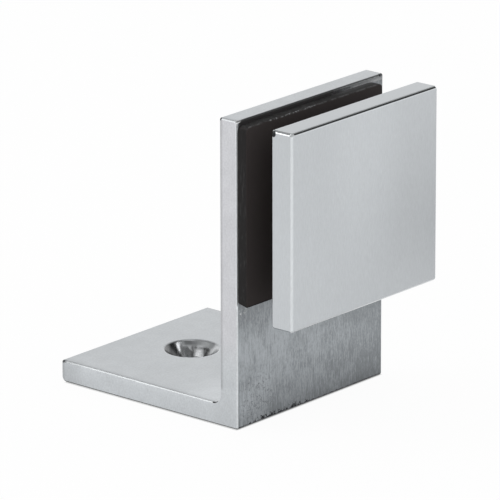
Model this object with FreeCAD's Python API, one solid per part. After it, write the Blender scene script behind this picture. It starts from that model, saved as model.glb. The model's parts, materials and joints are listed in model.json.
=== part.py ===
import FreeCAD, Part
import math
import os

# Right-angle glass clamp, in millimetres. An L bracket is screwed down through
# its foot, and a flat plate is drawn against its leg by two screws, with a
# rubber gasket on each side of the glass.
# Frame: X runs along the bracket's width, -Y is the clean side of the clamp
# plate, +Z runs up the leg. The origin is the centre of the foot's fixing
# hole, on the face that meets the wall or floor.

# Bracket, a length cut from an equal-walled L section
width = 50.0
bar_thickness = 5.0
leg_height = 70.5
foot_length = 52.0
inner_corner_radius = 2.2
foot_end_radius = 1.2
bracket_chamfer = 0.3

# Fixing hole in the foot, for a countersunk wood or machine screw
foot_hole_setback = 35.0
foot_hole_diameter = 6.5
foot_countersink_diameter = 12.6
foot_rim_round = 1.0

# Clamp plate
plate_height = 45.0
plate_thickness = 6.0
plate_chamfer = 0.5

# Gaskets and the space that they leave for the glass at rest
grip_gap = 6.1
bracket_gasket_thickness = 2.5
bracket_gasket_width = 46.5
bracket_gasket_height = 41.0
bracket_gasket_side_inset = 0.2
bracket_gasket_top_inset = 1.0
plate_gasket_thickness = 1.0
plate_gasket_inset = 3.0
gasket_corner_radius = 1.5
gasket_hole_clearance = 0.2

# Clamp screws: countersunk heads with a hexagon socket
screw_spacing = 20.0
screw_diameter = 6.0
screw_head_diameter = 12.0
screw_head_rim = 0.25
screw_sunk_below_face = 0.15
screw_tip_chamfer = 0.6
socket_across_flats = 4.0
socket_depth = 2.2
socket_drill_depth = 0.6
screw_engagement = 4.0
leg_hole_clearance = 0.25
head_seat_clearance = 0.15
thread_clearance = 0.08

# Travel of the plate from its rest place, and what is left at the stop
closing_travel = 0.5
tip_clearance = 0.4

# Nylon sleeves that keep the glass off the screws
sleeve_wall = 1.0
sleeve_bore_clearance = 0.3
sleeve_end_clearance = 0.4

# Places along Y, from the driving sizes
leg_front = -foot_hole_setback
leg_back = leg_front + bar_thickness
foot_end = leg_front + foot_length
bracket_gasket_face = leg_front - bracket_gasket_thickness
plate_gasket_face = bracket_gasket_face - grip_gap
plate_back = plate_gasket_face - plate_gasket_thickness
plate_front = plate_back - plate_thickness

# Heights and sides
plate_top = leg_height
plate_bottom = plate_top - plate_height
screw_height = (plate_top + plate_bottom) / 2
screw_sides = {"left": -screw_spacing / 2, "right": screw_spacing / 2}
half_width = width / 2

# Sizes that fits share
screw_radius = screw_diameter / 2
head_radius = screw_head_diameter / 2
leg_hole_radius = screw_radius + leg_hole_clearance
sleeve_bore_radius = screw_radius + sleeve_bore_clearance
sleeve_radius = sleeve_bore_radius + sleeve_wall
gasket_hole_radius = sleeve_radius + gasket_hole_clearance
blind_hole_depth = screw_engagement + closing_travel + tip_clearance
screw_tip = plate_back - screw_engagement
screw_head_top = leg_back - screw_sunk_below_face

# How far a cutting tool runs past the face that it enters, how near two points
# count as one, and the run of a cone with a right angle at its point for each
# unit of its radius
run_out = 1.0
same_place = 0.001
right_angle_cone = math.tan(math.radians(90.0 / 2))


def vec(x, y, z):
    return FreeCAD.Vector(x, y, z)


def profile(corners, place):
    """A closed wire through corners (a, b, cut, size), each cut to a chamfer or a round of that size.

    place turns the two numbers of a corner into a point of the part.
    """
    count = len(corners)
    starts, ends, middles = [], [], []
    for i, (a, b, cut, size) in enumerate(corners):
        here = place(a, b)
        before = place(*corners[i - 1][:2]) - here
        after = place(*corners[(i + 1) % count][:2]) - here
        before.normalize()
        after.normalize()
        half = before.getAngle(after) / 2
        back_off = size / math.tan(half) if cut == "round" else size
        starts.append(here + before * back_off)
        ends.append(here + after * back_off)
        bisector = before + after
        bisector.normalize()
        middles.append(here + bisector * (size / math.sin(half) - size))
    edges = []
    for i, (a, b, cut, size) in enumerate(corners):
        if cut == "round":
            edges.append(Part.Arc(starts[i], middles[i], ends[i]).toShape())
        else:
            edges.append(Part.LineSegment(starts[i], ends[i]).toShape())
        edges.append(Part.LineSegment(ends[i], starts[(i + 1) % count]).toShape())
    return Part.Wire(edges)


def turned(outline, origin, axis):
    """The solid that a half outline of (radius, distance along the axis) sweeps in a full turn.

    The axis lies across X, as every axis of this part does.
    """
    points = [origin + vec(radius, 0, 0) + axis * along for radius, along in outline]
    face = Part.Face(Part.makePolygon(points + points[:1]))
    return face.revolve(origin, axis, 360)


def countersink(hole_radius, rim_radius, depth, mouth, inward):
    """The cutter for a countersunk hole through a wall of that depth, with its mouth at a point."""
    cone_depth = (rim_radius - hole_radius) / right_angle_cone
    outline = [
        (0, -run_out),
        (rim_radius, -run_out),
        (rim_radius, 0),
        (hole_radius, cone_depth),
        (hole_radius, depth + run_out),
        (0, depth + run_out),
    ]
    return turned(outline, mouth, inward)


def is_circle(edge, radius, centre):
    """Whether an edge of a solid is the circle of that radius about that centre."""
    curve = edge.Curve
    if not isinstance(curve, Part.Circle):
        return False
    return abs(curve.Radius - radius) < same_place and (curve.Center - centre).Length < same_place


def bar_from(wire, chamfer):
    """A bar of the full width with the section wire, its two end faces chamfered all round."""
    solid = Part.Face(wire).extrude(vec(width, 0, 0))
    end_faces = [solid.Faces[-2], solid.Faces[-1]]
    return solid.makeChamfer(chamfer, end_faces[0].Edges + end_faces[1].Edges)


def bracket():
    corners = [
        (leg_front, 0, "chamfer", bracket_chamfer),
        (leg_front, leg_height, "chamfer", bracket_chamfer),
        (leg_back, leg_height, "chamfer", bracket_chamfer),
        (leg_back, bar_thickness, "round", inner_corner_radius),
        (foot_end, bar_thickness, "chamfer", bracket_chamfer),
        (foot_end, 0, "round", foot_end_radius),
    ]
    solid = bar_from(profile(corners, lambda y, z: vec(-half_width, y, z)), bracket_chamfer)
    foot_mouth = vec(0, 0, bar_thickness)
    solid = solid.cut(countersink(
        foot_hole_diameter / 2,
        foot_countersink_diameter / 2,
        bar_thickness,
        foot_mouth,
        vec(0, 0, -1),
    ))
    rim = [e for e in solid.Edges if is_circle(e, foot_countersink_diameter / 2, foot_mouth)]
    solid = solid.makeFillet(foot_rim_round, rim)
    # The cone of the leg's countersink stays head_seat_clearance off the head's
    seat_radius = head_radius + head_seat_clearance / math.cos(math.radians(90.0 / 2))
    rim_radius = seat_radius + screw_sunk_below_face * right_angle_cone + screw_head_rim
    for x in screw_sides.values():
        mouth = vec(x, leg_back, screw_height)
        solid = solid.cut(countersink(
            leg_hole_radius, rim_radius, bar_thickness, mouth, vec(0, -1, 0)
        ))
    return solid


def clamp_plate():
    corners = [
        (plate_front, plate_bottom, "chamfer", plate_chamfer),
        (plate_front, plate_top, "chamfer", plate_chamfer),
        (plate_back, plate_top, "chamfer", plate_chamfer),
        (plate_back, plate_bottom, "chamfer", plate_chamfer),
    ]
    solid = bar_from(profile(corners, lambda y, z: vec(-half_width, y, z)), plate_chamfer)
    hole_radius = screw_radius + thread_clearance
    for x in screw_sides.values():
        mouth = vec(x, plate_back + run_out, screw_height)
        depth = blind_hole_depth + run_out
        solid = solid.cut(Part.makeCylinder(hole_radius, depth, mouth, vec(0, -1, 0)))
    return solid


def gasket(x_low, x_high, z_low, z_high, face, thickness):
    """A punched rubber sheet that lies on a face of the clamp, from Y = face towards -Y."""
    corners = [
        (x_low, z_low, "round", gasket_corner_radius),
        (x_high, z_low, "round", gasket_corner_radius),
        (x_high, z_high, "round", gasket_corner_radius),
        (x_low, z_high, "round", gasket_corner_radius),
    ]
    wire = profile(corners, lambda x, z: vec(x, face, z))
    solid = Part.Face(wire).extrude(vec(0, -thickness, 0))
    for x in screw_sides.values():
        mouth = vec(x, face + run_out, screw_height)
        depth = thickness + 2 * run_out
        solid = solid.cut(Part.makeCylinder(gasket_hole_radius, depth, mouth, vec(0, -1, 0)))
    return solid


def bracket_gasket():
    x_low = -half_width + bracket_gasket_side_inset
    z_high = leg_height - bracket_gasket_top_inset
    return gasket(
        x_low,
        x_low + bracket_gasket_width,
        z_high - bracket_gasket_height,
        z_high,
        leg_front,
        bracket_gasket_thickness,
    )


def plate_gasket():
    x_high = half_width - plate_gasket_inset
    return gasket(
        -x_high,
        x_high,
        plate_bottom + plate_gasket_inset,
        plate_top - plate_gasket_inset,
        plate_gasket_face,
        plate_gasket_thickness,
    )


def hexagon(across_flats, centre, length):
    """A hexagonal prism that runs from centre towards -Y."""
    corner_radius = across_flats / 2 / math.cos(math.radians(30))
    points = []
    for i in range(7):
        turn = math.radians(60 * i)
        points.append(centre + vec(math.cos(turn), 0, math.sin(turn)) * corner_radius)
    return Part.Face(Part.makePolygon(points)).extrude(vec(0, -length, 0))


def clamp_screw(x):
    """A countersunk screw, head at the leg's back, with a broached hexagon socket."""
    inward = vec(0, -1, 0)
    top = vec(x, screw_head_top, screw_height)
    length = screw_head_top - screw_tip
    cone_end = screw_head_rim + (head_radius - screw_radius) / right_angle_cone
    body = turned([
        (0, 0),
        (head_radius, 0),
        (head_radius, screw_head_rim),
        (screw_radius, cone_end),
        (screw_radius, length - screw_tip_chamfer),
        (screw_radius - screw_tip_chamfer, length),
        (0, length),
    ], top, inward)
    corner_radius = socket_across_flats / 2 / math.cos(math.radians(30))
    mouth_depth = (corner_radius - socket_across_flats / 2) / right_angle_cone
    mouth = turned([
        (0, 0),
        (corner_radius, 0),
        (socket_across_flats / 2, mouth_depth),
        (0, mouth_depth),
    ], top, inward)
    drill = turned([
        (0, 0),
        (socket_across_flats / 2, 0),
        (socket_across_flats / 2, socket_depth),
        (0, socket_depth + socket_drill_depth),
    ], top, inward)
    socket = hexagon(socket_across_flats, top, socket_depth).fuse([mouth, drill])
    return body.cut(socket)


def screw_sleeve(x):
    """A nylon bush round one screw, stood on the leg inside the gasket's hole."""
    closed_length = bracket_gasket_thickness + grip_gap - closing_travel
    length = closed_length - sleeve_end_clearance
    foot = vec(x, leg_front, screw_height)
    outside = Part.makeCylinder(sleeve_radius, length, foot, vec(0, -1, 0))
    bore_mouth = vec(x, leg_front + run_out, screw_height)
    bore = Part.makeCylinder(sleeve_bore_radius, length + 2 * run_out, bore_mouth, vec(0, -1, 0))
    return outside.cut(bore)


def build():
    pieces = {
        "bracket": bracket(),
        "bracket_gasket": bracket_gasket(),
        "clamp_plate": clamp_plate(),
        "plate_gasket": plate_gasket(),
    }
    for side, x in screw_sides.items():
        pieces[f"clamp_screw_{side}"] = clamp_screw(x)
        pieces[f"screw_sleeve_{side}"] = screw_sleeve(x)
    return pieces


os.makedirs("parts", exist_ok=True)
for name, solid in build().items():
    solid.exportStep(f"parts/{name}.step")
    box = solid.BoundBox
    size = f"{box.XLength:.2f} x {box.YLength:.2f} x {box.ZLength:.2f} mm"
    print(f"{name}: {len(solid.Solids)} solid, valid {solid.isValid()}, {size}, {solid.Volume:.1f} mm3")
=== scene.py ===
import bmesh
import bpy
import json
import math
from mathutils import Matrix, Quaternion, Vector, noise


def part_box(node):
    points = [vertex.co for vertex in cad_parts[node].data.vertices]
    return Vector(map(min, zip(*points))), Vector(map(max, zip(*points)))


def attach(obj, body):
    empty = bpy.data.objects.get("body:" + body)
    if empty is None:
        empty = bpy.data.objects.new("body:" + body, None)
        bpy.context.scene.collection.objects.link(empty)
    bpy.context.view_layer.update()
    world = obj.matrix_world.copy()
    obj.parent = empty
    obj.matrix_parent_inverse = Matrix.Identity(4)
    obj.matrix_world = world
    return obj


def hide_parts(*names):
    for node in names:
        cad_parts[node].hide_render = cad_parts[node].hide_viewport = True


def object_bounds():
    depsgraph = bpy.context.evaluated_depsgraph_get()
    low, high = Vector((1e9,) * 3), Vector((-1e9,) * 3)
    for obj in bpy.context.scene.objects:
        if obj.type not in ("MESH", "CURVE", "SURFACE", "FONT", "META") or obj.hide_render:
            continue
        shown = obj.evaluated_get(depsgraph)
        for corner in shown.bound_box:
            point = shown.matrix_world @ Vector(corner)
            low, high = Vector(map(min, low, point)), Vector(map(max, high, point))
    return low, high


# Glass clamp in metres, in the part's own frame: X along the bracket's width,
# -Y the clean side of the clamp plate, +Z up the leg.
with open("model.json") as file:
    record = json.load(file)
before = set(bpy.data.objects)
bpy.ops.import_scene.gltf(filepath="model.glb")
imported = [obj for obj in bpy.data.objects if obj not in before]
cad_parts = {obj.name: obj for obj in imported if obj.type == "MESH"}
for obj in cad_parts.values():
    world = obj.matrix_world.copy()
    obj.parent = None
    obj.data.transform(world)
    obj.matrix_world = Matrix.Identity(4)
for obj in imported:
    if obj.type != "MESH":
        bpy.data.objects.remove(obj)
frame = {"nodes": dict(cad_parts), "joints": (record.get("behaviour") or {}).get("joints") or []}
cad_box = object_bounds()
mm = 0.001

# Bracket: a length of stainless steel L section. Its cut ends, its inner faces
# and its small chamfers are satin polished. The faces that the gasket and the
# wall cover are left as the grinding belt made them, and the holes are turned.
satin_colour = (0.6, 0.625, 0.645, 1)
satin_roughness = 0.34
satin_grain_width = 0.16
satin_grain_length = 1.4
# Upper end faces: lighter and warmer, a painted reflection.
painted_light_end_colour = (0.645, 0.65, 0.675, 1)
# Chamfers: a lighter colour, a painted highlight along the edges.
chamfer_highlight_colour = (0.72, 0.745, 0.76, 1)
bracket_edge_roughness = 0.45
bracket_clouding = 1.3
# Black for burrs and chips, and for painted dark reflections.
burr_and_dark_reflection_colour = (0.03, 0.031, 0.033, 1)
raw_light_colour = (0.487, 0.515, 0.54, 1)
raw_dark_colour = (0.318, 0.339, 0.355, 1)
raw_pit_colour = (0.12, 0.125, 0.13, 1)
raw_roughness = 0.46
turned_colour = (0.4, 0.41, 0.42, 1)
turned_roughness = 0.24
# Painted reflection in the foot's countersink: bands of shade at places across it, in mm.
painted_reflection_bands = (
    (-4.9, 1.3), (-4.2, 1.1), (-3.8, 0.6), (-3.4, 0.25), (-2.9, 0.2), (-2.5, 0.55), (-1.4, 0.95),
    (-0.65, 1.2), (-0.3, 0.4), (0.0, 0.42), (0.3, 0.58), (1.5, 0.62), (2.1, 0.32), (2.5, 0.3),
    (2.8, 0.95), (3.2, 0.95), (3.55, 0.3), (4.2, 0.27), (4.6, 0.18), (5.3, 0.42), (6.3, 0.55),
)
across_bands = (-0.656, 0.755)
band_reach = 6.5
# Painted shade: black for the strip above the gasket and the gap beside it.
dark_strip_colour = (0.02, 0.0185, 0.0185, 1)
dark_strip_roughness = 0.6
# A light colour for the glue along the gasket's foot, and for a painted highlight at the leg's top
# left corner.
bead_and_highlight_colour = (0.93, 0.94, 0.95, 1)
residue_colour = (0.42, 0.43, 0.44, 1)
dark_spot_core = 0.75
relief_depth = 0.012
edge_round = 0.18 * mm
edge_steps = 3
flat_angle = math.radians(0.5)
sharp_angle = math.radians(30)
weld_distance = 0.0001 * mm
bracket_low, bracket_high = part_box("bracket")
gasket_low, gasket_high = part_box("bracket_gasket")

# Materials measure in millimetres, and so do the places that they use.
bar_thickness = 5.0
leg_front = gasket_high.y / mm
leg_back = leg_front + bar_thickness
leg_top = bracket_high.z / mm
foot_end = bracket_high.y / mm
foot_top = bar_thickness
half_width = bracket_high.x / mm
inner_corner = 2.2
countersink_radius = 6.3
gasket_left = gasket_low.x / mm
gasket_foot = gasket_low.z / mm
gasket_top = gasket_high.z / mm
upper_leg = 60.0
screw_axes = {}
for joint in frame["joints"]:
    if joint["type"] == "hinge":
        screw_axes[joint["child"]] = Vector(joint["pos_m"])


def join(tree, value, socket):
    """Sets an input of a node, or joins it to another node's output."""
    if isinstance(value, bpy.types.NodeSocket):
        tree.links.new(value, socket)
    else:
        socket.default_value = value


def maths(tree, operation, *values):
    """A sum, product or comparison of numbers that change over the surface."""
    node = tree.nodes.new("ShaderNodeMath")
    node.operation = operation
    for socket, value in zip(node.inputs, values):
        join(tree, value, socket)
    return node.outputs[0]


def chained(tree, operation, values):
    """One number from several, by an operation on two at a time."""
    result = values[0]
    for value in values[1:]:
        result = maths(tree, operation, result, value)
    return result


def product(tree, *values):
    return chained(tree, "MULTIPLY", values)


def total(tree, *values):
    return chained(tree, "ADD", values)


def largest(tree, *values):
    return chained(tree, "MAXIMUM", values)


def rest_of(tree, share):
    """What a share leaves of 1."""
    return maths(tree, "SUBTRACT", 1.0, share)


def vector_maths(tree, operation, *values):
    """A sum, product or length of places, directions or colours."""
    node = tree.nodes.new("ShaderNodeVectorMath")
    node.operation = operation
    for socket, value in zip(node.inputs, values):
        join(tree, value, socket)
    gives_number = operation in ("LENGTH", "DISTANCE", "DOT_PRODUCT")
    return node.outputs["Value"] if gives_number else node.outputs["Vector"]


def dimmed(tree, colour, shade):
    """A colour times a number."""
    node = tree.nodes.new("ShaderNodeVectorMath")
    node.operation = "SCALE"
    join(tree, colour, node.inputs[0])
    join(tree, shade, node.inputs["Scale"])
    return node.outputs["Vector"]


def axis_values(tree, vector):
    """The X, Y and Z of a place or a direction."""
    node = tree.nodes.new("ShaderNodeSeparateXYZ")
    join(tree, vector, node.inputs[0])
    return node.outputs


def ramp(tree, value, low, high, at_low=0.0, at_high=1.0):
    """A smooth change from at_low to at_high as value goes from low to high."""
    node = tree.nodes.new("ShaderNodeMapRange")
    node.interpolation_type = "SMOOTHSTEP"
    for name, setting in (
        ("Value", value),
        ("From Min", low),
        ("From Max", high),
        ("To Min", at_low),
        ("To Max", at_high),
    ):
        join(tree, setting, node.inputs[name])
    return node.outputs["Result"]


def between(tree, value, low, high, soft):
    """1 where value lies from low to high, fading to 0 over soft on each side."""
    rise = ramp(tree, value, low - soft, low)
    fall = ramp(tree, value, high, high + soft, 1.0, 0.0)
    return product(tree, rise, fall)


def fractal(tree, position, scale, detail=2.0, roughness=0.5):
    """Noise from 0 to 1 with scale bumps to the unit of position."""
    node = tree.nodes.new("ShaderNodeTexNoise")
    join(tree, position, node.inputs["Vector"])
    join(tree, scale, node.inputs["Scale"])
    node.inputs["Detail"].default_value = detail
    node.inputs["Roughness"].default_value = roughness
    return node.outputs["Fac"]


def mixed(tree, kind, share, first, second):
    """Mixes two numbers, vectors or colours: kind is FLOAT, VECTOR or RGBA."""
    node = tree.nodes.new("ShaderNodeMix")
    node.data_type = kind
    place = {"FLOAT": 0, "VECTOR": 1, "RGBA": 2}[kind]
    join(tree, share, node.inputs[0])
    join(tree, first, node.inputs[2 + 2 * place])
    join(tree, second, node.inputs[3 + 2 * place])
    return node.outputs[place]


def new_group(name, inputs, outputs):
    """A shader node group, with the sockets that its nodes read and those that they feed."""
    tree = bpy.data.node_groups.new(name, "ShaderNodeTree")
    for label, kind in inputs.items():
        tree.interface.new_socket(label, in_out="INPUT", socket_type="NodeSocket" + kind)
    for label, kind in outputs.items():
        tree.interface.new_socket(label, in_out="OUTPUT", socket_type="NodeSocket" + kind)
    given = tree.nodes.new("NodeGroupInput").outputs
    made = tree.nodes.new("NodeGroupOutput").inputs
    return tree, given, made


def use_group(tree, group, **values):
    """Places a group in a material. An input's name is given with _ for its spaces."""
    node = tree.nodes.new("ShaderNodeGroup")
    node.node_tree = group
    for name, value in values.items():
        join(tree, value, node.inputs[name.replace("_", " ")])
    return node.outputs


def new_material(name):
    """A material with the place on its piece in mm, and the surface's direction there."""
    material = bpy.data.materials.new(name)
    material.use_nodes = True
    tree = material.node_tree
    surface = tree.nodes["Principled BSDF"]
    place = tree.nodes.new("ShaderNodeTexCoord").outputs
    position = vector_maths(tree, "MULTIPLY", place["Object"], (1 / mm,) * 3)
    return material, tree, surface, position, place["Normal"]


def relief(tree, surface, height, depth):
    """Gives a surface relief, depth mm for each unit of height."""
    node = tree.nodes.new("ShaderNodeBump")
    node.inputs["Distance"].default_value = depth * mm
    join(tree, height, node.inputs["Height"])
    join(tree, node.outputs["Normal"], surface.inputs["Normal"])


def grain_group():
    """Streaks of a belt or brush: along Z on upright faces, along X on level ones."""
    tree, given, made = new_group(
        "grain",
        {"Position": "Vector", "Direction": "Vector", "Width": "Float", "Length": "Float"},
        {"Streaks": "Float"},
    )
    across = maths(tree, "DIVIDE", 1.0, given["Width"])
    along = maths(tree, "DIVIDE", 1.0, given["Length"])
    upright = tree.nodes.new("ShaderNodeCombineXYZ")
    level = tree.nodes.new("ShaderNodeCombineXYZ")
    for node, values in ((upright, (across, across, along)), (level, (along, across, across))):
        for socket, value in zip(node.inputs, values):
            join(tree, value, socket)
    faces_up = maths(tree, "ABSOLUTE", axis_values(tree, given["Direction"])["Z"])
    stretch = mixed(
        tree, "VECTOR", ramp(tree, faces_up, 0.6, 0.8), upright.outputs[0], level.outputs[0]
    )
    stretched = vector_maths(tree, "MULTIPLY", given["Position"], stretch)
    join(tree, fractal(tree, stretched, 1.0, 4.0, 0.6), made["Streaks"])
    return tree


def cut_group():
    """Where a surface is cut slantwise, as a chamfer or a countersink is."""
    tree, given, made = new_group("cut", {"Direction": "Vector"}, {"Slanted": "Float"})
    x, y, z = axis_values(tree, vector_maths(tree, "ABSOLUTE", given["Direction"]))[:]
    steepest = largest(tree, x, y, z)
    join(tree, ramp(tree, steepest, 0.8, 0.97, 1.0, 0.0), made["Slanted"])
    return tree


def satin_group(grain):
    """Satin polished steel, with a faint grain and clouding, and its chamfers painted lighter as a
    highlight.
    """
    tree, given, made = new_group(
        "satin",
        {
            "Position": "Vector",
            "Direction": "Vector",
            "Clouding": "Float",
            "Chamfer": "Float",
            "Chamfer Roughness": "Float",
        },
        {"Color": "Color", "Roughness": "Float", "Streaks": "Float"},
    )
    streaks = use_group(
        tree,
        grain,
        Position=given["Position"],
        Direction=given["Direction"],
        Width=satin_grain_width,
        Length=satin_grain_length,
    )["Streaks"]
    clouds = ramp(tree, fractal(tree, given["Position"], 0.25, 5.0, 0.6), 0.25, 0.75, -0.04, 0.02)
    frosting = ramp(tree, fractal(tree, given["Position"], 2.2, 2.0), 0.3, 0.7, -0.035, 0.035)
    shade = maths(tree, "MULTIPLY_ADD", total(tree, clouds, frosting), given["Clouding"], 1.0)
    shade = total(tree, shade, ramp(tree, streaks, 0.2, 0.8, -0.06, 0.06))
    base = mixed(tree, "RGBA", given["Chamfer"], satin_colour, chamfer_highlight_colour)
    join(tree, dimmed(tree, base, shade), made["Color"])
    satin = ramp(tree, streaks, 0.2, 0.8, satin_roughness - 0.04, satin_roughness + 0.04)
    join(
        tree,
        mixed(tree, "FLOAT", given["Chamfer"], satin, given["Chamfer Roughness"]),
        made["Roughness"],
    )
    join(tree, streaks, made["Streaks"])
    return tree


def round_edges(piece):
    """Breaks the sharp edges of a steel piece of the frame, as tumbling does."""
    weld = piece.modifiers.new("weld", "WELD")
    weld.merge_threshold = weld_distance
    flats = piece.modifiers.new("flats", "DECIMATE")
    flats.decimate_type = "DISSOLVE"
    flats.angle_limit = flat_angle
    bevel = piece.modifiers.new("edge_round", "BEVEL")
    bevel.width = edge_round
    bevel.segments = edge_steps
    bevel.limit_method = "ANGLE"
    bevel.angle_limit = sharp_angle
    bevel.use_clamp_overlap = True
    bevel.harden_normals = False
    smooth = piece.modifiers.new("smooth", "WEIGHTED_NORMAL")
    smooth.keep_sharp = False
    smooth.weight = 100


def set_material(piece, material):
    """Puts one material on every slot of a piece, or in a first slot."""
    if not piece.material_slots:
        piece.data.materials.append(material)
    for slot in piece.material_slots:
        slot.material = material


def faces_along(tree, toward):
    """1 on the faces that look along an axis: toward says how far the surface does."""
    return ramp(tree, toward, 0.9, 0.97)


def faces_against(tree, toward):
    """1 on the faces that look against an axis."""
    return ramp(tree, toward, -0.97, -0.9, 1.0, 0.0)


def leans_against(tree, toward):
    """1 on the faces and the chamfers that look more or less against an axis."""
    return ramp(tree, toward, -0.5, -0.3, 1.0, 0.0)


def scaled_where(tree, colour, share, factor):
    """A colour times factor where share is 1, and unchanged where it is 0."""
    return dimmed(tree, colour, ramp(tree, share, 0.0, 1.0, 1.0, factor))


def shaded_where(tree, colour, share, shade):
    """A colour times a shade that changes over the surface, as far as share lets it through."""
    return dimmed(tree, colour, mixed(tree, "FLOAT", share, 1.0, shade))


def far_from_ends(tree, x):
    """1 on a piece of the bracket's width, falling to 0 at its two end faces."""
    return ramp(tree, maths(tree, "ABSOLUTE", x), half_width - 0.9, half_width - 0.5, 1.0, 0.0)


def ground_steel(tree, position, direction, x, z):
    """Colour, roughness and relief of a face as the grinding belt left it, with painted shade
    under the clamp plate.
    """
    coarse = use_group(
        tree, grain, Position=position, Direction=direction, Width=0.7, Length=6.0
    )["Streaks"]
    fine = use_group(
        tree, grain, Position=position, Direction=direction, Width=0.2, Length=2.8
    )["Streaks"]
    marks = maths(tree, "MULTIPLY_ADD", coarse, 0.32, product(tree, fine, 0.68))
    clouds = fractal(tree, position, 0.14, 4.0, 0.6)
    speckle = fractal(tree, vector_maths(tree, "MULTIPLY", position, (1, 1, 0.4)), 3.2, 3.0, 0.7)
    tone = maths(tree, "MULTIPLY_ADD", marks, 0.5, product(tree, clouds, 0.22))
    tone = maths(tree, "MULTIPLY_ADD", speckle, 0.28, tone)
    tone = total(tree, tone, ramp(tree, x, -12.0, 22.0, 0.012, -0.03))
    speckled = product(tree, between(tree, x, -22.0, -15.0, 3.5), between(tree, z, 3.5, 9.0, 4.0))
    pits = ramp(tree, fractal(tree, position, 1.7, 4.0, 0.8), 0.54, 0.62)
    pitted = product(tree, pits, ramp(tree, speckled, 0.0, 1.0, 0.12, 1.0))
    colour = mixed(tree, "RGBA", ramp(tree, tone, 0.43, 0.57), raw_dark_colour, raw_light_colour)
    colour = mixed(tree, "RGBA", product(tree, pitted, 0.6), colour, raw_pit_colour)
    colour = dimmed(tree, colour, ramp(tree, z, 0.2, 4.0, 0.82, 1.0))
    # Darker low down to the right of x = -15 mm, and a painted shadow of the clamp plate on the
    # face's upper right.
    darker_low_and_plate_shadow = total(
        tree,
        product(tree, ramp(tree, x, -20.0, -10.0), ramp(tree, z, 2.0, 13.0, 0.24, 0.0)),
        product(tree, ramp(tree, x, 8.0, 22.0, 0.0, 0.1), ramp(tree, z, 8.0, 20.0)),
    )
    colour = dimmed(tree, colour, rest_of(tree, darker_low_and_plate_shadow))
    # Painted shade under the clamp plate: darker towards the top of the face.
    colour = dimmed(tree, colour, ramp(tree, z, 19.0, 25.5, 0.98, 0.83))
    # Darker along the face's left edge, low down.
    darker_left_edge = product(
        tree,
        ramp(tree, x, -half_width + 0.4, -half_width + 1.1, 0.25, 0.0),
        ramp(tree, z, 6.0, 16.0, 1.0, 0.0),
    )
    colour = dimmed(tree, colour, rest_of(tree, darker_left_edge))
    from_worst = maths(tree, "ABSOLUTE", total(tree, x, 11.0))
    ragged = product(
        tree,
        ramp(tree, fractal(tree, position, 1.1, 4.0, 0.8), 0.44, 0.62),
        ramp(tree, from_worst, 5.0, 13.0, 1.1, 0.15),
    )
    chipped = ramp(tree, maths(tree, "SUBTRACT", z, ragged), 0.32, 0.52, 1.0, 0.0)
    colour = mixed(tree, "RGBA", chipped, colour, burr_and_dark_reflection_colour)
    roughness = ramp(tree, marks, 0.3, 0.7, raw_roughness + 0.08, raw_roughness - 0.06)
    height = maths(tree, "SUBTRACT", marks, product(tree, pitted, 1.6))
    return colour, roughness, height


def worn_edge(tree, inset, reach):
    """How far buffing has worn a face down: 1 at its edge, 0 where the inset is beyond reach."""
    near = maths(tree, "MULTIPLY_ADD", inset, -1 / reach, 1.0)
    return maths(tree, "POWER", maths(tree, "MAXIMUM", near, 0.0), 2.0)


def dark_spot(tree, position, place, reach):
    """A painted dark reflection spot: 1 near its place, 0 beyond its reach."""
    away = vector_maths(tree, "DISTANCE", position, place)
    return ramp(tree, away, dark_spot_core * reach, reach, 1.0, 0.0)


def turned_marks(tree, x, y):
    """Distance from the foot hole's axis, and the relief that a chattering tool left round it."""
    from_axis = tree.nodes.new("ShaderNodeCombineXYZ")
    join(tree, x, from_axis.inputs[0])
    join(tree, y, from_axis.inputs[1])
    radius = vector_maths(tree, "LENGTH", from_axis.outputs[0])
    turn = vector_maths(tree, "NORMALIZE", from_axis.outputs[0])
    rings = fractal(tree, dimmed(tree, (1, 0, 0), radius), 1.2, 3.0, 0.6)
    chatter = fractal(tree, dimmed(tree, turn, 2.4), 1.0, 2.0, 0.5)
    return radius, maths(tree, "MULTIPLY_ADD", chatter, 0.8, product(tree, rings, 0.2))


def painted_countersink_reflection(tree, position, x, y, radius):
    """Painted reflection in a countersink: light and dark bands across it, with lighter and darker
    patches.
    """
    drift = fractal(tree, position, 0.5, 3.0, 0.6)
    wander = product(tree, maths(tree, "SUBTRACT", drift, 0.5), 0.7)
    across_x, across_y = across_bands
    across = maths(tree, "MULTIPLY_ADD", x, across_x, product(tree, y, across_y))
    across = total(tree, across, wander)
    bands = tree.nodes.new("ShaderNodeValToRGB")
    join(tree, maths(tree, "MULTIPLY_ADD", across, 0.5 / band_reach, 0.5), bands.inputs[0])
    colours = bands.color_ramp
    colours.interpolation = "EASE"
    for place, tone in painted_reflection_bands:
        element = colours.elements.new(0.5 + place / (2 * band_reach))
        element.color = (tone, tone, tone, 1)
    colours.elements.remove(colours.elements[-1])
    colours.elements.remove(colours.elements[0])
    mottle = ramp(tree, fractal(tree, position, 1.6, 4.0, 0.7), 0.3, 0.7, 0.85, 1.12)
    slanting = maths(tree, "MULTIPLY_ADD", maths(tree, "MINIMUM", across, 1.0), -0.9, radius)
    lighter_patch = product(tree, ramp(tree, slanting, 4.1, 4.45), between(tree, across, 0.0, 1.8, 0.4))
    darker_front_right_patch = product(
        tree,
        ramp(tree, radius, 4.35, 4.85, 0.0, 0.5),
        between(tree, across, -3.9, -0.9, 0.4),
    )
    darker_back_left_patch = product(
        tree,
        ramp(tree, radius, 3.9, 4.8, 0.35, 0.0),
        between(tree, across, 2.0, 3.4, 0.3),
    )
    patches = maths(tree, "MULTIPLY_ADD", lighter_patch, 1.7, 1.0)
    patches = maths(tree, "SUBTRACT", patches, total(tree, darker_front_right_patch, darker_back_left_patch))
    return product(tree, bands.outputs[0], mottle, patches)


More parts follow.
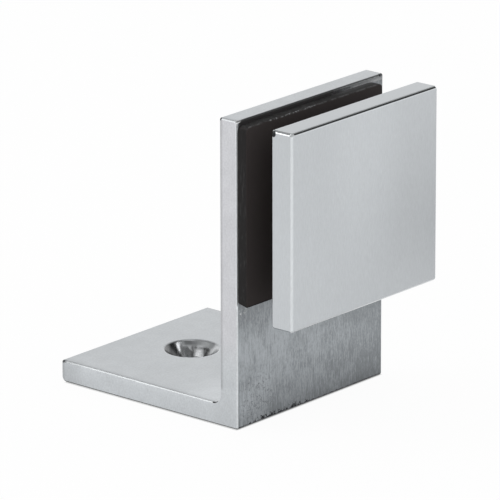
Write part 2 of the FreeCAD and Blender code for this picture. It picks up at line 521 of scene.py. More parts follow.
def painted_rim_zone(tree, turn, radius):
    """Where painted shade makes the countersink's rim seem to run out softly into the face, on its
    +X side and behind.
    """
    return product(tree, between(tree, turn, -0.25, 0.95, 0.25), ramp(tree, radius, 4.8, 5.6))


grain = grain_group()
cut = cut_group()
satin = satin_group(grain)

steel, tree, surface, position, direction = new_material("bracket_steel")
x, y, z = axis_values(tree, position)[:]
toward_x, toward_y, toward_z = axis_values(tree, direction)[:]
cuts = use_group(tree, cut, Direction=direction)
foot_radius, foot_marks = turned_marks(tree, x, y)
foot_turn = maths(tree, "ARCTAN2", y, x)
in_cone = product(
    tree,
    cuts["Slanted"],
    ramp(tree, foot_radius, countersink_radius + 0.1, countersink_radius + 0.4, 1.0, 0.0),
)
painted_soft_rim = product(tree, in_cone, painted_rim_zone(tree, foot_turn, foot_radius))
in_countersink = maths(tree, "SUBTRACT", in_cone, painted_soft_rim)
in_inner_corner = product(
    tree,
    between(tree, y, leg_back - 0.1, leg_back + inner_corner, 0.2),
    between(tree, z, foot_top - 0.1, foot_top + inner_corner, 0.2),
    far_from_ends(tree, x),
)
chamfer = product(
    tree,
    cuts["Slanted"],
    rest_of(tree, in_countersink),
    rest_of(tree, in_inner_corner),
)
polished = use_group(
    tree,
    satin,
    Position=position,
    Direction=direction,
    Clouding=bracket_clouding,
    Chamfer=chamfer,
    Chamfer_Roughness=bracket_edge_roughness,
)
on_ends = faces_along(tree, maths(tree, "ABSOLUTE", toward_x))
on_level = faces_along(tree, toward_z)
on_upper_leg = ramp(tree, z, upper_leg, upper_leg + 1.0)
# Painted reflection: the end faces lighter and warmer from 12 to 22 mm up.
painted_light_ends = product(tree, on_ends, ramp(tree, z, 12.0, 22.0))
end_inset = maths(tree, "SUBTRACT", half_width, maths(tree, "ABSOLUTE", x))
top_inset = maths(tree, "SUBTRACT", foot_top, z)
along_foot = ramp(tree, y, leg_back + 1.0, leg_back + 3.0)
near_top_edge = product(tree, on_ends, worn_edge(tree, top_inset, 1.7), along_foot)
# Painted dark reflections: a line along the back edge of the leg's end faces, and lines on the top
# faces just inside their two ends.
shaded = largest(
    tree,
    product(
        tree,
        ramp(tree, maths(tree, "ABSOLUTE", toward_x), 0.6, 0.7),
        ramp(tree, z, 8.0, 9.0),
        ramp(tree, y, leg_back - 1.3, leg_back - 0.3),
    ),
    product(
        tree,
        on_level,
        between(tree, end_inset, 0.25, 0.8, 0.15),
        largest(tree, along_foot, on_upper_leg),
        0.45,
    ),
)
# Painted light and shade on the foot: a highlight under its top edge, a reflection of the leg on
# its top, its end faces a little lighter, and shade towards its far end.
near_leg = ramp(tree, y, leg_back + 5.0, leg_back + 17.0, 0.15, 0.01)
painted_light_and_shade = total(
    tree,
    product(tree, near_top_edge, 0.09),
    product(tree, on_level, along_foot, near_leg),
    product(tree, on_ends, along_foot, 0.03),
)
end_shade = total(
    tree,
    ramp(tree, y, foot_end - 9.0, foot_end, 0.0, 0.17),
    ramp(tree, y, foot_end - 1.3, foot_end - 0.4, 0.0, 0.12),
)
end_shade = product(tree, end_shade, mixed(tree, "FLOAT", on_level, 1.0, 0.1))
painted_light_and_shade = maths(tree, "SUBTRACT", painted_light_and_shade, end_shade)
raw = largest(tree, faces_against(tree, toward_y), faces_against(tree, toward_z))
ground, ground_roughness, ground_height = ground_steel(tree, position, direction, x, z)
# A black matt strip above the gasket and in the gap by its left end: painted shade and a painted
# dark reflection of the gasket's top.
strip_wander = product(tree, fractal(tree, position, 1.4, 4.0, 0.8), 14.0)
on_front = ramp(tree, toward_y, -0.5, -0.4, 1.0, 0.0)
dark_strip = product(
    tree,
    on_front,
    ramp(tree, z, gasket_top - 1.0, gasket_top - 0.8),
    ramp(tree, total(tree, x, strip_wander), 13.0, 25.0, 1.0, 0.0),
    far_from_ends(tree, x),
)
dark_gap_strip = product(
    tree,
    on_front,
    ramp(tree, x, gasket_left, gasket_left + 0.1, 1.0, 0.0),
    ramp(tree, x, -half_width + 0.1, -half_width + 0.16),
    between(tree, z, gasket_foot + 0.5, gasket_top, 1.0),
)
dark_strip = largest(tree, dark_strip, dark_gap_strip)
bead_wave = product(tree, fractal(tree, position, 1.8, 3.0, 0.7), 0.5)
bead_height = maths(tree, "SUBTRACT", z, bead_wave)
bead_and_highlight = product(
    tree,
    on_front,
    between(tree, bead_height, gasket_foot - 0.62, gasket_foot - 0.1, 0.12),
    between(tree, x, -21.0, 19.5, 0.8),
    ramp(tree, fractal(tree, position, 1.1, 3.0, 0.7), 0.35, 0.6, 0.45, 1.0),
)
flecks = product(
    tree,
    on_front,
    ramp(tree, fractal(tree, position, 2.2, 3.0, 0.8), 0.56, 0.62),
    between(tree, x, -24.2, -22.0, 0.5),
    between(tree, z, gasket_foot - 2.1, gasket_foot - 1.2, 0.3),
)
# Painted highlight on the top of the leg's front face at its left end.
corner_highlight_height = total(tree, z, ramp(tree, x, -24.6, -22.4, 0.55, -0.1))
corner_highlight = product(tree, on_front, ramp(tree, corner_highlight_height, leg_top - 0.05, leg_top + 0.05))
bead_and_highlight = largest(tree, bead_and_highlight, flecks, product(tree, corner_highlight, 0.8))
residue_end = maths(tree, "MULTIPLY_ADD", fractal(tree, position, 0.8, 4.0, 0.8), 10.0, x)
residue = product(
    tree,
    on_front,
    ramp(tree, z, gasket_top - 0.4, gasket_top - 0.2),
    ramp(tree, residue_end, 14.0, 22.0),
    ramp(tree, fractal(tree, position, 1.3, 4.0, 0.75), 0.38, 0.58, 0.2, 1.1),
)
# Dark edges: chamfers facing down, partly burrs and partly painted dark reflection; front chamfers
# leaning up and the spots, painted dark reflection.
dark_burr_and_reflection = largest(
    tree,
    product(tree, chamfer, leans_against(tree, toward_z)),
    product(
        tree,
        chamfer,
        leans_against(tree, toward_y),
        ramp(tree, toward_z, 0.3, 0.5, 0.0, 0.8),
    ),
)
# Painted dark reflection spots at the bracket's corners: place, reach in mm and strength.
bracket_dark_spots = (
    ((-half_width, leg_back, leg_top), 0.8, 1.0),
    ((half_width, leg_front, leg_top), 0.85, 1.0),
    ((half_width - 1.2, leg_front, leg_top - 0.15), 0.45, 1.0),
    ((-half_width, foot_end - 0.6, foot_top - 0.1), 0.5, 0.85),
    ((-half_width, foot_end - 1.15, foot_top - 0.1), 0.4, 0.5),
    ((-half_width, leg_back + 0.85, foot_top + 0.4), 0.3, 0.7),
    ((-half_width, leg_back + 1.25, foot_top + 0.28), 0.38, 0.9),
    ((-half_width, leg_back + 1.65, foot_top + 0.16), 0.44, 1.0),
    ((-half_width, leg_back + 2.05, foot_top + 0.1), 0.44, 1.0),
)
for place, reach, strength in bracket_dark_spots:
    dark_burr_and_reflection = largest(tree, dark_burr_and_reflection, product(tree, dark_spot(tree, position, place, reach), strength))
painted_light_factors = [warmer / plain for warmer, plain in zip(painted_light_end_colour[:3], satin_colour)]
painted_light_tint = mixed(tree, "VECTOR", painted_light_ends, (1, 1, 1), painted_light_factors)
colour = vector_maths(tree, "MULTIPLY", polished["Color"], painted_light_tint)
colour = scaled_where(tree, colour, shaded, 0.76)
colour = dimmed(tree, colour, total(tree, painted_light_and_shade, 1.0))
# Painted light and shade on the edges: front chamfers lighter, most beside the gasket, upward
# chamfers darker, most on the leg's top and the foot's far end, and end faces lighter by their
# front edge.
beside_gasket = ramp(tree, z, gasket_foot - 2.0, gasket_foot + 1.0)
edge_light = product(
    tree,
    chamfer,
    leans_against(tree, toward_y),
    ramp(tree, beside_gasket, 0.0, 1.0, 0.2, 0.9),
)
upper_edge_shade = product(tree, chamfer, ramp(tree, toward_z, 0.3, 0.5))
far_edge_shade = largest(tree, on_upper_leg, ramp(tree, y, 5.0, foot_end - 3.0))
front_light = product(
    tree, on_ends, ramp(tree, y, leg_front + 0.15, leg_front + 0.6, 1.0, 0.0), beside_gasket
)
colour = scaled_where(tree, colour, edge_light, 1.34)
colour = scaled_where(tree, colour, upper_edge_shade, 0.86)
colour = scaled_where(tree, colour, product(tree, upper_edge_shade, far_edge_shade), 0.88)
colour = scaled_where(tree, colour, front_light, 1.16)
colour = mixed(tree, "RGBA", raw, colour, ground)
# The countersink's colour carries its painted reflection.
turned = dimmed(tree, turned_colour[:3], painted_countersink_reflection(tree, position, x, y, foot_radius))
colour = mixed(tree, "RGBA", in_countersink, colour, turned)
# Painted shade on the countersink's rim.
rim_shade = ramp(tree, foot_turn, 0.45, 0.85, 0.42, 1.1)
colour = shaded_where(tree, colour, painted_soft_rim, rim_shade)
colour = mixed(tree, "RGBA", dark_strip, colour, dark_strip_colour)
# Painted shade on the residue just under the leg's top edge.
under_edge = ramp(tree, z, leg_top - 1.0, leg_top - 0.35, 1.0, 0.5)
colour = mixed(tree, "RGBA", residue, colour, dimmed(tree, residue_colour[:3], under_edge))
colour = mixed(tree, "RGBA", bead_and_highlight, colour, bead_and_highlight_colour)
join(tree, mixed(tree, "RGBA", dark_burr_and_reflection, colour, burr_and_dark_reflection_colour), surface.inputs["Base Color"])
roughness = mixed(tree, "FLOAT", raw, polished["Roughness"], ground_roughness)
roughness = mixed(tree, "FLOAT", in_countersink, roughness, turned_roughness)
join(tree, mixed(tree, "FLOAT", dark_strip, roughness, dark_strip_roughness), surface.inputs["Roughness"])
# A patch of the countersink's rim made partly non-metal, so that its painted tone shows lighter.
non_metal_rim_patch = product(
    tree,
    in_cone,
    between(tree, foot_turn, 0.7, 1.02, 0.12),
    ramp(tree, foot_radius, 4.8, 5.3, 0.0, 0.85),
)
covered = largest(tree, dark_strip, bead_and_highlight, residue, non_metal_rim_patch)
join(tree, rest_of(tree, covered), surface.inputs["Metallic"])
worn = total(tree, product(tree, on_level, worn_edge(tree, end_inset, 2.2)), near_top_edge)
smooth_height = maths(tree, "MULTIPLY_ADD", worn, -7.0, product(tree, polished["Streaks"], 0.1))
height = mixed(tree, "FLOAT", raw, smooth_height, ground_height)
height = mixed(tree, "FLOAT", in_countersink, height, product(tree, foot_marks, 7.0))
relief(tree, surface, height, relief_depth)
bracket = frame["nodes"]["bracket"]
set_material(bracket, steel)
round_edges(bracket)

# Bracket gasket: a sheet of black rubber, knife cut and glued to the leg's raw
# face a little to one side. Its skin is matt and made lighter by painted light,
# its cut edges are scuffed grey with a painted highlight and glints along the
# top front one, and dust lies on the top one.
# The skin: its own colour, made lighter by painted light.
lit_skin_rubber_colour = (0.047, 0.040, 0.039, 1)
cut_rubber_colour = (0.0195, 0.0185, 0.0185, 1)
scuff_and_highlight_colour = (0.1, 0.1, 0.1, 1)
glint_colour = (0.34, 0.35, 0.36, 1)
dust_colour = (0.085, 0.086, 0.088, 1)
rubber_roughness = 0.75
rubber_shine = 0.12
rubber_relief = 0.02
gasket_corner = 1.5 * mm
gasket_sharp_corner = 0.4 * mm
gasket_far_corner = 1.0 * mm
gasket_edge = 0.14 * mm
outline_step = 0.4 * mm
cut_wander = 0.05 * mm
cut_wave = 2.5 * mm
tear_place = Vector((-24.2, 28.5)) * mm
tear_reach = 0.5 * mm
tear_depth = 0.2 * mm
tear_grain = 0.3 * mm
lifted_place = Vector((gasket_low.x, gasket_low.z))
lifted_reach = 3.0 * mm
lifted_height = 0.65 * mm
trim_place = Vector((gasket_high.x, gasket_high.z))
trim_reach = 2.6 * mm
trim_depth = 0.2 * mm
gasket_hole_radius = 4.5 * mm
hole_steps = 64
corner_steps = 8
double_distance = 0.001 * mm


def rounded_outline(low, high, corners, step):
    """Points of a rectangle with round corners in X and Z, about a step apart."""
    bends = []
    sides = ((high.x, high.z), (low.x, high.z), (low.x, low.z), (high.x, low.z))
    middle = (low + high) / 2
    for quarter, ((side, level), corner) in enumerate(zip(sides, corners)):
        cx = side + math.copysign(corner, middle.x - side)
        cz = level + math.copysign(corner, middle.z - level)
        for i in range(corner_steps + 1):
            turn = math.radians(90) * (quarter + i / corner_steps)
            bends.append(Vector((cx + corner * math.cos(turn), cz + corner * math.sin(turn))))
    points = []
    for i, here in enumerate(bends):
        after = bends[(i + 1) % len(bends)]
        count = max(1, round((after - here).length / step))
        points += [here.lerp(after, k / count) for k in range(count)]
    return points


def knife_cut(points, wander, torn=True):
    """An outline moved inwards a little, unevenly, and more at the torn and trimmed corners."""
    moved = []
    for i, here in enumerate(points):
        along = (points[(i + 1) % len(points)] - points[i - 1]).normalized()
        inward = Vector((-along.y, along.x))
        rough = 0.5 + 0.5 * noise.noise(Vector((here.x, here.y, 0)) / cut_wave)
        tear = max(0.0, 1 - (here - tear_place).length / tear_reach) if torn else 0.0
        trim = max(0.0, 1 - (here - trim_place).length / trim_reach) if torn else 0.0
        ragged = 0.5 + 0.5 * noise.noise(Vector((here.x, here.y, mm)) / tear_grain)
        depth = wander * rough + tear_depth * tear * ragged + trim_depth * trim
        moved.append(here + inward * depth)
    return moved


def sheet_piece(name, outline, holes, back, front, edge):
    """A flat sheet between two places on Y, with its outline and its holes' rims rounded over."""
    curve = bpy.data.curves.new(name, "CURVE")
    curve.dimensions = "2D"
    curve.fill_mode = "BOTH"
    for points in [outline, *holes]:
        spline = curve.splines.new("POLY")
        spline.points.add(len(points) - 1)
        for target, point in zip(spline.points, points):
            target.co = (point.x, point.y, 0, 1)
        spline.use_cyclic_u = True
    curve.offset = -edge
    curve.bevel_depth = edge
    curve.bevel_resolution = edge_steps
    curve.extrude = (back - front) / 2 - edge
    flat = bpy.data.objects.new(name, curve)
    bpy.context.scene.collection.objects.link(flat)
    finished = flat.evaluated_get(bpy.context.evaluated_depsgraph_get())
    mesh = bpy.data.meshes.new_from_object(finished)
    bpy.data.objects.remove(flat)
    set_up = Matrix.Rotation(math.radians(90), 4, "X")
    mesh.transform(Matrix.Translation((0, (back + front) / 2, 0)) @ set_up)
    return mesh_piece(name, mesh)


def mesh_piece(name, mesh):
    """Puts a mesh in the scene, its double points merged, its normals outwards, shaded smooth."""
    work = bmesh.new()
    work.from_mesh(mesh)
    bmesh.ops.remove_doubles(work, verts=work.verts, dist=double_distance)
    bmesh.ops.recalc_face_normals(work, faces=work.faces)
    work.to_mesh(mesh)
    work.free()
    mesh.polygons.foreach_set("use_smooth", [True] * len(mesh.polygons))
    mesh.set_sharp_from_angle(angle=sharp_angle)
    mesh.name = name
    piece = bpy.data.objects.new(name, mesh)
    bpy.context.scene.collection.objects.link(piece)
    return piece


def hole_outlines(radius):
    """The outlines of the holes that the screws and their sleeves pass through."""
    outlines = []
    for axis in screw_axes.values():
        turns = [-math.radians(360) * i / hole_steps for i in range(hole_steps)]
        outlines.append(
            [Vector((axis.x + radius * math.cos(t), axis.z + radius * math.sin(t))) for t in turns]
        )
    return outlines


def rubber_material(name, low, high, face_place):
    """Black rubber for a gasket of this box, whose face towards the glass is at face_place."""
    foot, top, face = low.z / mm, high.z / mm, face_place / mm
    behind = (low.y + high.y) / mm - face
    material, tree, surface, position, direction = new_material(name)
    x, y, z = axis_values(tree, position)[:]
    toward_x, toward_y, toward_z = axis_values(tree, direction)[:]
    on_top = ramp(tree, toward_z, 0.5, 0.9)
    on_side = ramp(tree, maths(tree, "ABSOLUTE", toward_x), 0.5, 0.9)
    dust_patch = ramp(tree, fractal(tree, position, 1.1, 4.0, 0.75), 0.42, 0.6)
    dust = product(tree, on_top, dust_patch, ramp(tree, x, -6.0, 6.0, 0.25, 0.1))
    from_leg = maths(tree, "ABSOLUTE", maths(tree, "SUBTRACT", y, behind))
    smudge = product(
        tree,
        on_top,
        ramp(tree, from_leg, 0.3, 1.6, 0.9, 0.25),
        ramp(tree, x, 4.0, 12.0),
    )
    # Along the top front edge: grey scuffs, partly a painted highlight, and painted glints.
    lip = product(
        tree,
        ramp(tree, z, top - 0.4, top - 0.1),
        ramp(tree, y, face + 0.08, face + 0.34, 1.0, 0.0),
    )
    patches = ramp(tree, fractal(tree, position, 0.45, 4.0, 0.75), 0.4, 0.62)
    glinting = product(
        tree,
        lip,
        ramp(tree, fractal(tree, position, 1.6, 3.0, 0.7), 0.52, 0.6),
        between(tree, x, -16.0, -2.0, 2.5),
    )
    stroke = vector_maths(tree, "MULTIPLY", position, (1.0, 3.2, 0.35))
    scratched = product(
        tree,
        on_side,
        ramp(tree, fractal(tree, stroke, 1.0, 4.0, 0.7), 0.52, 0.68),
        ramp(tree, z, top - 14.0, top - 4.0, 0.35, 0.08),
    )
    scuffs_and_highlight = largest(tree, product(tree, lip, patches), scratched)
    on_cut = largest(tree, on_top, on_side)
    # The skin is lighter than the cut top and sides: partly the rubber's own skin, partly painted
    # light on its faces.
    colour = mixed(tree, "RGBA", on_cut, lit_skin_rubber_colour, cut_rubber_colour)
    colour = mixed(tree, "RGBA", scuffs_and_highlight, colour, scuff_and_highlight_colour)
    colour = mixed(tree, "RGBA", largest(tree, dust, smudge), colour, dust_colour)
    colour = dimmed(tree, colour, ramp(tree, z, foot + 0.2, foot + 0.45, 0.25, 1.0))
    join(tree, mixed(tree, "RGBA", glinting, colour, glint_colour), surface.inputs["Base Color"])
    skin = fractal(tree, position, 6.0, 3.0, 0.6)
    join(
        tree,
        ramp(tree, skin, 0.3, 0.7, rubber_roughness - 0.08, rubber_roughness + 0.12),
        surface.inputs["Roughness"],
    )
    surface.inputs["Specular IOR Level"].default_value = rubber_shine
    relief(tree, surface, skin, rubber_relief)
    return material


gasket_corners = (gasket_far_corner, gasket_corner, gasket_sharp_corner, gasket_corner)
bracket_gasket = sheet_piece(
    "bracket_gasket_rubber",
    knife_cut(rounded_outline(gasket_low, gasket_high, gasket_corners, outline_step), cut_wander),
    hole_outlines(gasket_hole_radius),
    gasket_high.y,
    gasket_low.y,
    gasket_edge,
)
for vertex in bracket_gasket.data.vertices:
    away = (Vector((vertex.co.x, vertex.co.z)) - lifted_place).length
    depth = (vertex.co.y - gasket_low.y) / (gasket_high.y - gasket_low.y)
    vertex.co.z += lifted_height * depth * max(0.0, 1 - away / lifted_reach)
rubber = rubber_material("gasket_rubber", gasket_low, gasket_high, gasket_low.y)
set_material(bracket_gasket, rubber)
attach(bracket_gasket, "fixed_bracket")
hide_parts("bracket_gasket")

# Clamp plate: a bar of the same satin steel, 6 mm thick, its edges chamfered
# all round, polished and painted lighter as a highlight. Two blind threaded
# holes in its back take the screws.
plate_edge_roughness = 0.1
plate_clouding = 0.25
plate_relief_depth = 0.0012
# Middle of the painted lighter patch on the plate's front.
painted_bright_middle = (0, 0, 34)

plate_steel, tree, surface, position, direction = new_material("plate_steel")
cuts = use_group(tree, cut, Direction=direction)
x, y, z = axis_values(tree, position)[:]
toward_x, toward_y, toward_z = axis_values(tree, direction)[:]
dulled = product(
    tree,
    leans_against(tree, toward_y),
    ramp(tree, x, -half_width + 0.4, -half_width + 1.4, 0.5, 0.0),
)
polished = use_group(
    tree,
    satin,
    Position=position,
    Direction=direction,
    Clouding=plate_clouding,
    Chamfer=cuts["Slanted"],
    Chamfer_Roughness=total(tree, dulled, plate_edge_roughness),
)
plate_low, plate_high = [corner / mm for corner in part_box("clamp_plate")]
# Painted dark reflection spots at two of the plate's corners.
back_corner = (plate_low.x, plate_high.y - 0.75, plate_high.z - 0.8)
far_corner = (plate_high.x, plate_low.y, plate_high.z)
dark_burr_and_reflection = largest(
    tree,
    dark_spot(tree, position, back_corner, 0.8),
    dark_spot(tree, position, far_corner, 0.55),
)
# Painted reflection on the plate's front: lighter in the upper middle, darker towards the lower
# right.
painted_bright_place = vector_maths(tree, "MULTIPLY", position, (1, 0, 0.6))
from_painted_bright = vector_maths(tree, "DISTANCE", painted_bright_place, painted_bright_middle)
slope = maths(tree, "MULTIPLY_ADD", z, -0.7, x)
front_shade = total(
    tree,
    ramp(tree, from_painted_bright, 3.0, 17.0, 0.07, 0.0),
    ramp(tree, slope, -54.0, -1.0, 1.045, 0.965),
)
colour = shaded_where(tree, polished["Color"], faces_against(tree, toward_y), front_shade)
# Painted light and shade: upright chamfers lighter at the plate's left end, darker at its right,
# and its left end face darker towards the top.
upright_edge = product(
    tree,
    cuts["Slanted"],
    ramp(tree, maths(tree, "ABSOLUTE", toward_z), 0.2, 0.4, 1.0, 0.0),
)
edge_shade = ramp(tree, toward_x, -0.45, 0.45, 1.15, 0.86)
colour = shaded_where(tree, colour, upright_edge, edge_shade)
side_shade = ramp(tree, z, 35.0, 65.0, 0.99, 0.945)
colour = shaded_where(tree, colour, faces_against(tree, toward_x), side_shade)
join(tree, mixed(tree, "RGBA", dark_burr_and_reflection, colour, burr_and_dark_reflection_colour), surface.inputs["Base Color"])
join(tree, polished["Roughness"], surface.inputs["Roughness"])
surface.inputs["Metallic"].default_value = 1.0
relief(tree, surface, polished["Streaks"], plate_relief_depth)
clamp_plate = frame["nodes"]["clamp_plate"]
set_material(clamp_plate, plate_steel)
round_edges(clamp_plate)

# Plate gasket: a thin sheet of the same black rubber behind the clamp plate,
# punched round the two sleeves.
sheet_low, sheet_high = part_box("plate_gasket")
sheet_outline = rounded_outline(sheet_low, sheet_high, (gasket_corner,) * 4, outline_step)
plate_gasket = sheet_piece(
    "plate_gasket_rubber",
    knife_cut(sheet_outline, cut_wander, torn=False),
    hole_outlines(gasket_hole_radius),
    sheet_high.y,
    sheet_low.y,
    gasket_edge,
)
rubber = rubber_material("plate_gasket_rubber", sheet_low, sheet_high, sheet_high.y)
set_material(plate_gasket, rubber)
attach(plate_gasket, "moving_plate")
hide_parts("plate_gasket")

# Screw sleeves: turned bushes of natural nylon that stand on the leg round the
# screws, so that the glass never touches the steel.
nylon_colour = (0.72, 0.69, 0.6, 1)
nylon_dark_colour = (0.66, 0.62, 0.52, 1)
nylon_glow = 0.15
nylon_glow_reach = (0.0012, 0.0010, 0.0008)
sleeve_wall = 1.0 * mm
sleeve_chamfer = 0.2 * mm
turning_relief = 0.01
round_steps = 72


def turned_piece(name, centre, rings, closed=False):
    """A piece turned about an axis along Y, from rings of (radius, y).

    Either may be a number or a function of the turn. A closed piece joins its last ring to its
    first, and any other one has its two ends filled.
    """
    work = bmesh.new()
    loops = []
    for radius, y in rings:
        loop = []
        for i in range(round_steps):
            turn = math.radians(360) * i / round_steps
            reach = radius(turn) if callable(radius) else radius
            depth = y(turn) if callable(y) else y
            across, up = reach * math.cos(turn), reach * math.sin(turn)
            loop.append(work.verts.new((centre.x + across, depth, centre.z + up)))
        loops.append(loop)
    pairs = list(zip(loops, loops[1:]))
    if closed:
        pairs.append((loops[-1], loops[0]))
    else:
        work.faces.new(loops[0])
        work.faces.new(loops[-1])
    for first, second in pairs:
        for i in range(round_steps):
            k = (i + 1) % round_steps
            work.faces.new((first[i], first[k], second[k], second[i]))
    mesh = bpy.data.meshes.new(name)
    work.to_mesh(mesh)
    work.free()
    return mesh_piece(name, mesh)


nylon, tree, surface, position, direction = new_material("nylon")
mottle = fractal(tree, position, 0.8, 3.0)
colour = mixed(tree, "RGBA", mottle, nylon_colour, nylon_dark_colour)
join(tree, colour, surface.inputs["Base Color"])
join(tree, ramp(tree, mottle, 0.3, 0.7, 0.38, 0.5), surface.inputs["Roughness"])
surface.inputs["Subsurface Weight"].default_value = nylon_glow
surface.inputs["Subsurface Radius"].default_value = nylon_glow_reach
turning = vector_maths(tree, "MULTIPLY", position, (0.2, 6.0, 0.2))
relief(tree, surface, fractal(tree, turning, 1.0, 2.0), turning_relief)
for side in ("left", "right"):
    low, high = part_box(f"screw_sleeve_{side}")
    centre = (low + high) / 2
    outer = (high.x - low.x) / 2
    bore = outer - sleeve_wall
    sleeve = turned_piece(f"nylon_sleeve_{side}", centre, [
        (outer - sleeve_chamfer, low.y),
        (outer, low.y + sleeve_chamfer),
        (outer, high.y - sleeve_chamfer),
        (outer - sleeve_chamfer, high.y),
        (bore + sleeve_chamfer, high.y),
        (bore, high.y - sleeve_chamfer),
        (bore, low.y + sleeve_chamfer),
        (bore + sleeve_chamfer, low.y),
    ], closed=True)
    set_material(sleeve, nylon)
    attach(sleeve, "fixed_bracket")
    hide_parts(f"screw_sleeve_{side}")

# Clamp screws: countersunk M6 machine screws of stainless steel, with a rolled
# thread and a broached hexagon socket for a 4 mm key.
screw_colour = (0.5, 0.505, 0.51, 1)
screw_dark_colour = (0.42, 0.425, 0.43, 1)
screw_edge_colour = (0.6, 0.605, 0.61, 1)
screw_radius = 3.0 * mm
screw_rim = 0.25 * mm
screw_rim_chamfer = 0.06 * mm
thread_pitch = 1.0 * mm
thread_depth = 0.55 * mm
thread_rings = 16
thread_run_out = 1.0 * mm
tip_chamfer = 0.6 * mm
tip_radius = 0.4 * screw_radius
socket_across_flats = 4.0 * mm
socket_depth = 2.2 * mm
socket_floor = 0.02 * mm
drill_radius = 0.98 * socket_across_flats / 2
drill_depth = 0.6 * mm
drill_tip_radius = 0.3 * mm


def hexagon_radius(turn):
    """Distance from the middle of the socket to its wall, in the direction of turn."""
    off_middle = (turn + math.radians(30)) % math.radians(60) - math.radians(30)
    return socket_across_flats / 2 / math.cos(off_middle)


def screw_rings(head, tip, head_radius):
    """Rings of a screw from its tip, up the thread and the head, to the bottom of its socket."""
    socket_corner = socket_across_flats / 2 / math.cos(math.radians(30))
    cone_start = head - screw_rim - (head_radius - screw_radius)
    rings = [(tip_radius, tip)]
    count = round((cone_start - tip) / thread_pitch * thread_rings)
    for k in range(count + 1):
        y = tip + (cone_start - tip) * k / count
        depth = thread_depth * min(1, (cone_start - y) / thread_run_out)
        limit = screw_radius - max(0.0, tip_chamfer - (y - tip))

        def radius(turn, y=y, depth=depth, limit=limit):
            phase = (y / thread_pitch + turn / math.radians(360)) % 1
            flank = min(1.0, max(0.0, 1.3 * abs(2 * phase - 1) - 0.1))
            return min(limit, screw_radius - depth * (1 - flank))

        rings.append((radius, y))
    rings += [
        (head_radius - screw_rim_chamfer, head - screw_rim - screw_rim_chamfer),
        (head_radius, head - screw_rim),
        (head_radius, head - screw_rim_chamfer),
        (head_radius - screw_rim_chamfer, head),
        (socket_corner, head),
        (hexagon_radius, lambda turn: head - (socket_corner - hexagon_radius(turn))),
        (hexagon_radius, head - socket_depth),
        (drill_radius, head - socket_depth - socket_floor),
        (drill_tip_radius, head - socket_depth - drill_depth),
    ]
    return rings


screw_steel, tree, surface, position, direction = new_material("screw_steel")
blotches = fractal(tree, position, 0.7, 3.0)
worn = use_group(tree, cut, Direction=direction)["Slanted"]
colour = mixed(tree, "RGBA", blotches, screw_colour, screw_dark_colour)
join(tree, mixed(tree, "RGBA", worn, colour, screw_edge_colour), surface.inputs["Base Color"])
join(tree, ramp(tree, blotches, 0.3, 0.7, 0.26, 0.38), surface.inputs["Roughness"])
surface.inputs["Metallic"].default_value = 1.0
for side in ("left", "right"):
    low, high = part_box(f"clamp_screw_{side}")
    rings = screw_rings(high.y, low.y, (high.x - low.x) / 2)
    screw = turned_piece(f"machine_screw_{side}", screw_axes[f"{side}_screw"], rings)
    set_material(screw, screw_steel)
    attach(screw, f"{side}_screw")
    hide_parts(f"clamp_screw_{side}")

# The studio: a white floor, shaded at the foot's very edge, under a white sky,
# with a soft lamp behind on the left. The steel mirrors a dark gap in the sky,
# bright spots, a dim ring round a paler crown and a grey card on the floor.
floor_reach = 3.0
floor_albedo = 0.92
floor_glow_seen = 0.95
floor_glow_mirrored = 0.4
floor_gap = 0.02 * mm
contact_edge = 0.15 * mm
contact_shadow = 0.45 * mm
contact_glow = 0.3
contact_front = 0.3 * mm
contact_back = 1.4 * mm
sky_light = 0.85
gap_light = 0.03
ring_light = 0.35
crown_light = 0.5
strip_light = 3.0
strip_direction = Vector((0.43, -0.43, 0.79)).normalized()
left_light = 2.0
left_direction = Vector((-0.38, 0.30, 0.87)).normalized()
card_colour = (0.55, 0.55, 0.55, 1)
card_place = Vector((130, -112, 0.2)) * mm
card_side = 62 * mm
key_direction = Vector((-0.55, 0.62, 0.56)).normalized()
key_distance = 0.6
key_size = 0.3
key_power = 0.6


def ray_kinds(tree):
    """Whether a ray comes from the camera, and whether it comes off a shine or through glass."""
    rays = tree.nodes.new("ShaderNodeLightPath").outputs
    mirrored = largest(tree, rays["Is Glossy Ray"], rays["Is Transmission Ray"])
    return rays["Is Camera Ray"], mirrored


def level_square(name, reach, place):
    """A level square about a place, reaching this far to each side."""
    mesh = bpy.data.meshes.new(name)
    corners = [(reach * x, reach * y, 0) for x, y in ((-1, -1), (1, -1), (1, 1), (-1, 1))]
    mesh.from_pydata(corners, [], [(0, 1, 2, 3)])
    square = bpy.data.objects.new(name, mesh)
    square.location = place
    bpy.context.scene.collection.objects.link(square)
    return square


floor = level_square("floor", floor_reach, (0, 0, bracket_low.z - floor_gap))
floor_paint = bpy.data.materials.new("floor_paint")
floor_paint.use_nodes = True
tree = floor_paint.node_tree
tree.nodes.clear()
output = tree.nodes.new("ShaderNodeOutputMaterial")
matt = tree.nodes.new("ShaderNodeBsdfDiffuse")
matt.inputs["Color"].default_value = (floor_albedo,) * 3 + (1,)
glow = tree.nodes.new("ShaderNodeEmission")
seen, mirrored = ray_kinds(tree)
spot = tree.nodes.new("ShaderNodeTexCoord").outputs["Object"]
stand_low = Vector((bracket_low.x, bracket_low.y + contact_front, 0))
stand_high = Vector((bracket_high.x - contact_front, bracket_high.y - contact_back, 0))
stand_middle = (stand_low + stand_high) / 2
stand_half = (stand_high - stand_low) / 2
from_stand = vector_maths(tree, "SUBTRACT", spot, stand_middle)
from_stand = vector_maths(tree, "ABSOLUTE", from_stand)
x, y, z = axis_values(tree, vector_maths(tree, "SUBTRACT", from_stand, stand_half))[:]
outside = largest(tree, x, y)
clear_of_foot = ramp(tree, outside, contact_edge, contact_shadow, contact_glow, 1.0)
share = largest(
    tree,
    product(tree, seen, clear_of_foot, floor_glow_seen),
    product(tree, mirrored, floor_glow_mirrored),
)
lit = tree.nodes.new("ShaderNodeMixShader")
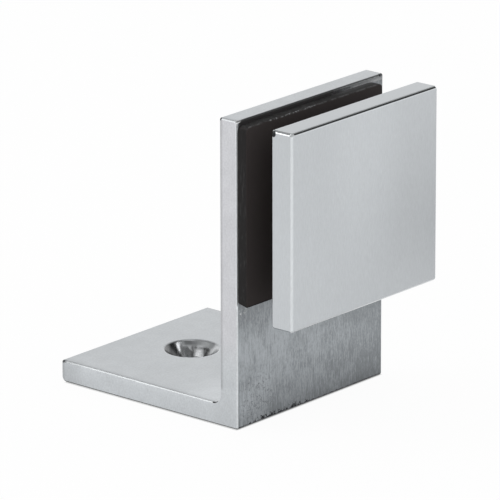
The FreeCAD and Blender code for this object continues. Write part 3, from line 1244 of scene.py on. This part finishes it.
join(tree, share, lit.inputs[0])
join(tree, matt.outputs[0], lit.inputs[1])
join(tree, glow.outputs[0], lit.inputs[2])
clear = tree.nodes.new("ShaderNodeBsdfTransparent")
from_below = tree.nodes.new("ShaderNodeNewGeometry").outputs["Backfacing"]
hidden = tree.nodes.new("ShaderNodeMixShader")
join(tree, product(tree, from_below, seen), hidden.inputs[0])
join(tree, lit.outputs[0], hidden.inputs[1])
join(tree, clear.outputs[0], hidden.inputs[2])
join(tree, hidden.outputs[0], output.inputs["Surface"])
set_material(floor, floor_paint)

card = level_square("card", card_side / 2, card_place)
card.visible_camera = False
card.visible_diffuse = False
card.visible_shadow = False
card_paint = bpy.data.materials.new("card_paint")
card_paint.use_nodes = True
card_paint.node_tree.nodes["Principled BSDF"].inputs["Base Color"].default_value = card_colour
set_material(card, card_paint)

world = bpy.data.worlds.new("sky")
bpy.context.scene.world = world
world.use_nodes = True
tree = world.node_tree
sky = tree.nodes["Background"]
seen, mirrored = ray_kinds(tree)
toward = tree.nodes.new("ShaderNodeTexCoord").outputs["Generated"]
x, y, z = axis_values(tree, toward)[:]
ring = ramp(tree, z, 0.42, 0.6, 1.0, ring_light)
dome = mixed(tree, "FLOAT", ramp(tree, z, 0.86, 0.94), ring, crown_light)
gap = product(tree, ramp(tree, y, -0.27, -0.15, 1.0, 0.0), between(tree, z, 0.55, 0.71, 0.09))
dome = mixed(tree, "FLOAT", gap, dome, gap_light)
bright_spots = (
    (strip_direction, strip_light, 0.993, 0.985),
    (left_direction, left_light, 0.985, 0.97),
)
for direction, light, narrow, wide in bright_spots:
    lamp = ramp(tree, vector_maths(tree, "DOT_PRODUCT", toward, direction), wide, narrow)
    dome = mixed(tree, "FLOAT", lamp, dome, light)
plain = mixed(tree, "FLOAT", seen, sky_light, 1.0)
join(tree, mixed(tree, "FLOAT", mirrored, plain, dome), sky.inputs["Strength"])
sky.inputs["Color"].default_value = (1, 1, 1, 1)

key_lamp = bpy.data.lights.new("key", "AREA")
key_lamp.shape = "SQUARE"
key_lamp.size = key_size
key_lamp.energy = key_power
key = bpy.data.objects.new("key", key_lamp)
middle = (cad_box[0] + cad_box[1]) / 2
key.location = middle + key_direction * key_distance
key.rotation_mode = "QUATERNION"
key.rotation_quaternion = key_direction.to_track_quat("Z", "Y")
bpy.context.scene.collection.objects.link(key)

# The camera: a long lens that looks from the front left and a little above, as
# in the photograph.
lens_length = 430.04
film_width = 36.0
nearest_seen = 0.05
furthest_seen = 20.0
camera_place = Vector((-963.21, -840.51, 433.07)) * mm
camera_azimuth = math.radians(-49.483)
camera_elevation = math.radians(17.573)
camera_roll = math.radians(0.115)
camera_data = bpy.data.cameras.new("camera")
camera_data.sensor_width = film_width
camera_data.lens = lens_length
camera_data.clip_start = nearest_seen
camera_data.clip_end = furthest_seen
camera = bpy.data.objects.new("camera", camera_data)
backwards = Vector((
    math.sin(camera_azimuth) * math.cos(camera_elevation),
    -math.cos(camera_azimuth) * math.cos(camera_elevation),
    math.sin(camera_elevation),
))
camera.location = camera_place
camera.rotation_mode = "QUATERNION"
rolled = Quaternion((0, 0, 1), -camera_roll)
camera.rotation_quaternion = backwards.to_track_quat("Z", "Y") @ rolled
bpy.context.scene.collection.objects.link(camera)
bpy.context.scene.camera = camera
bpy.context.scene.view_settings.view_transform = "Standard"
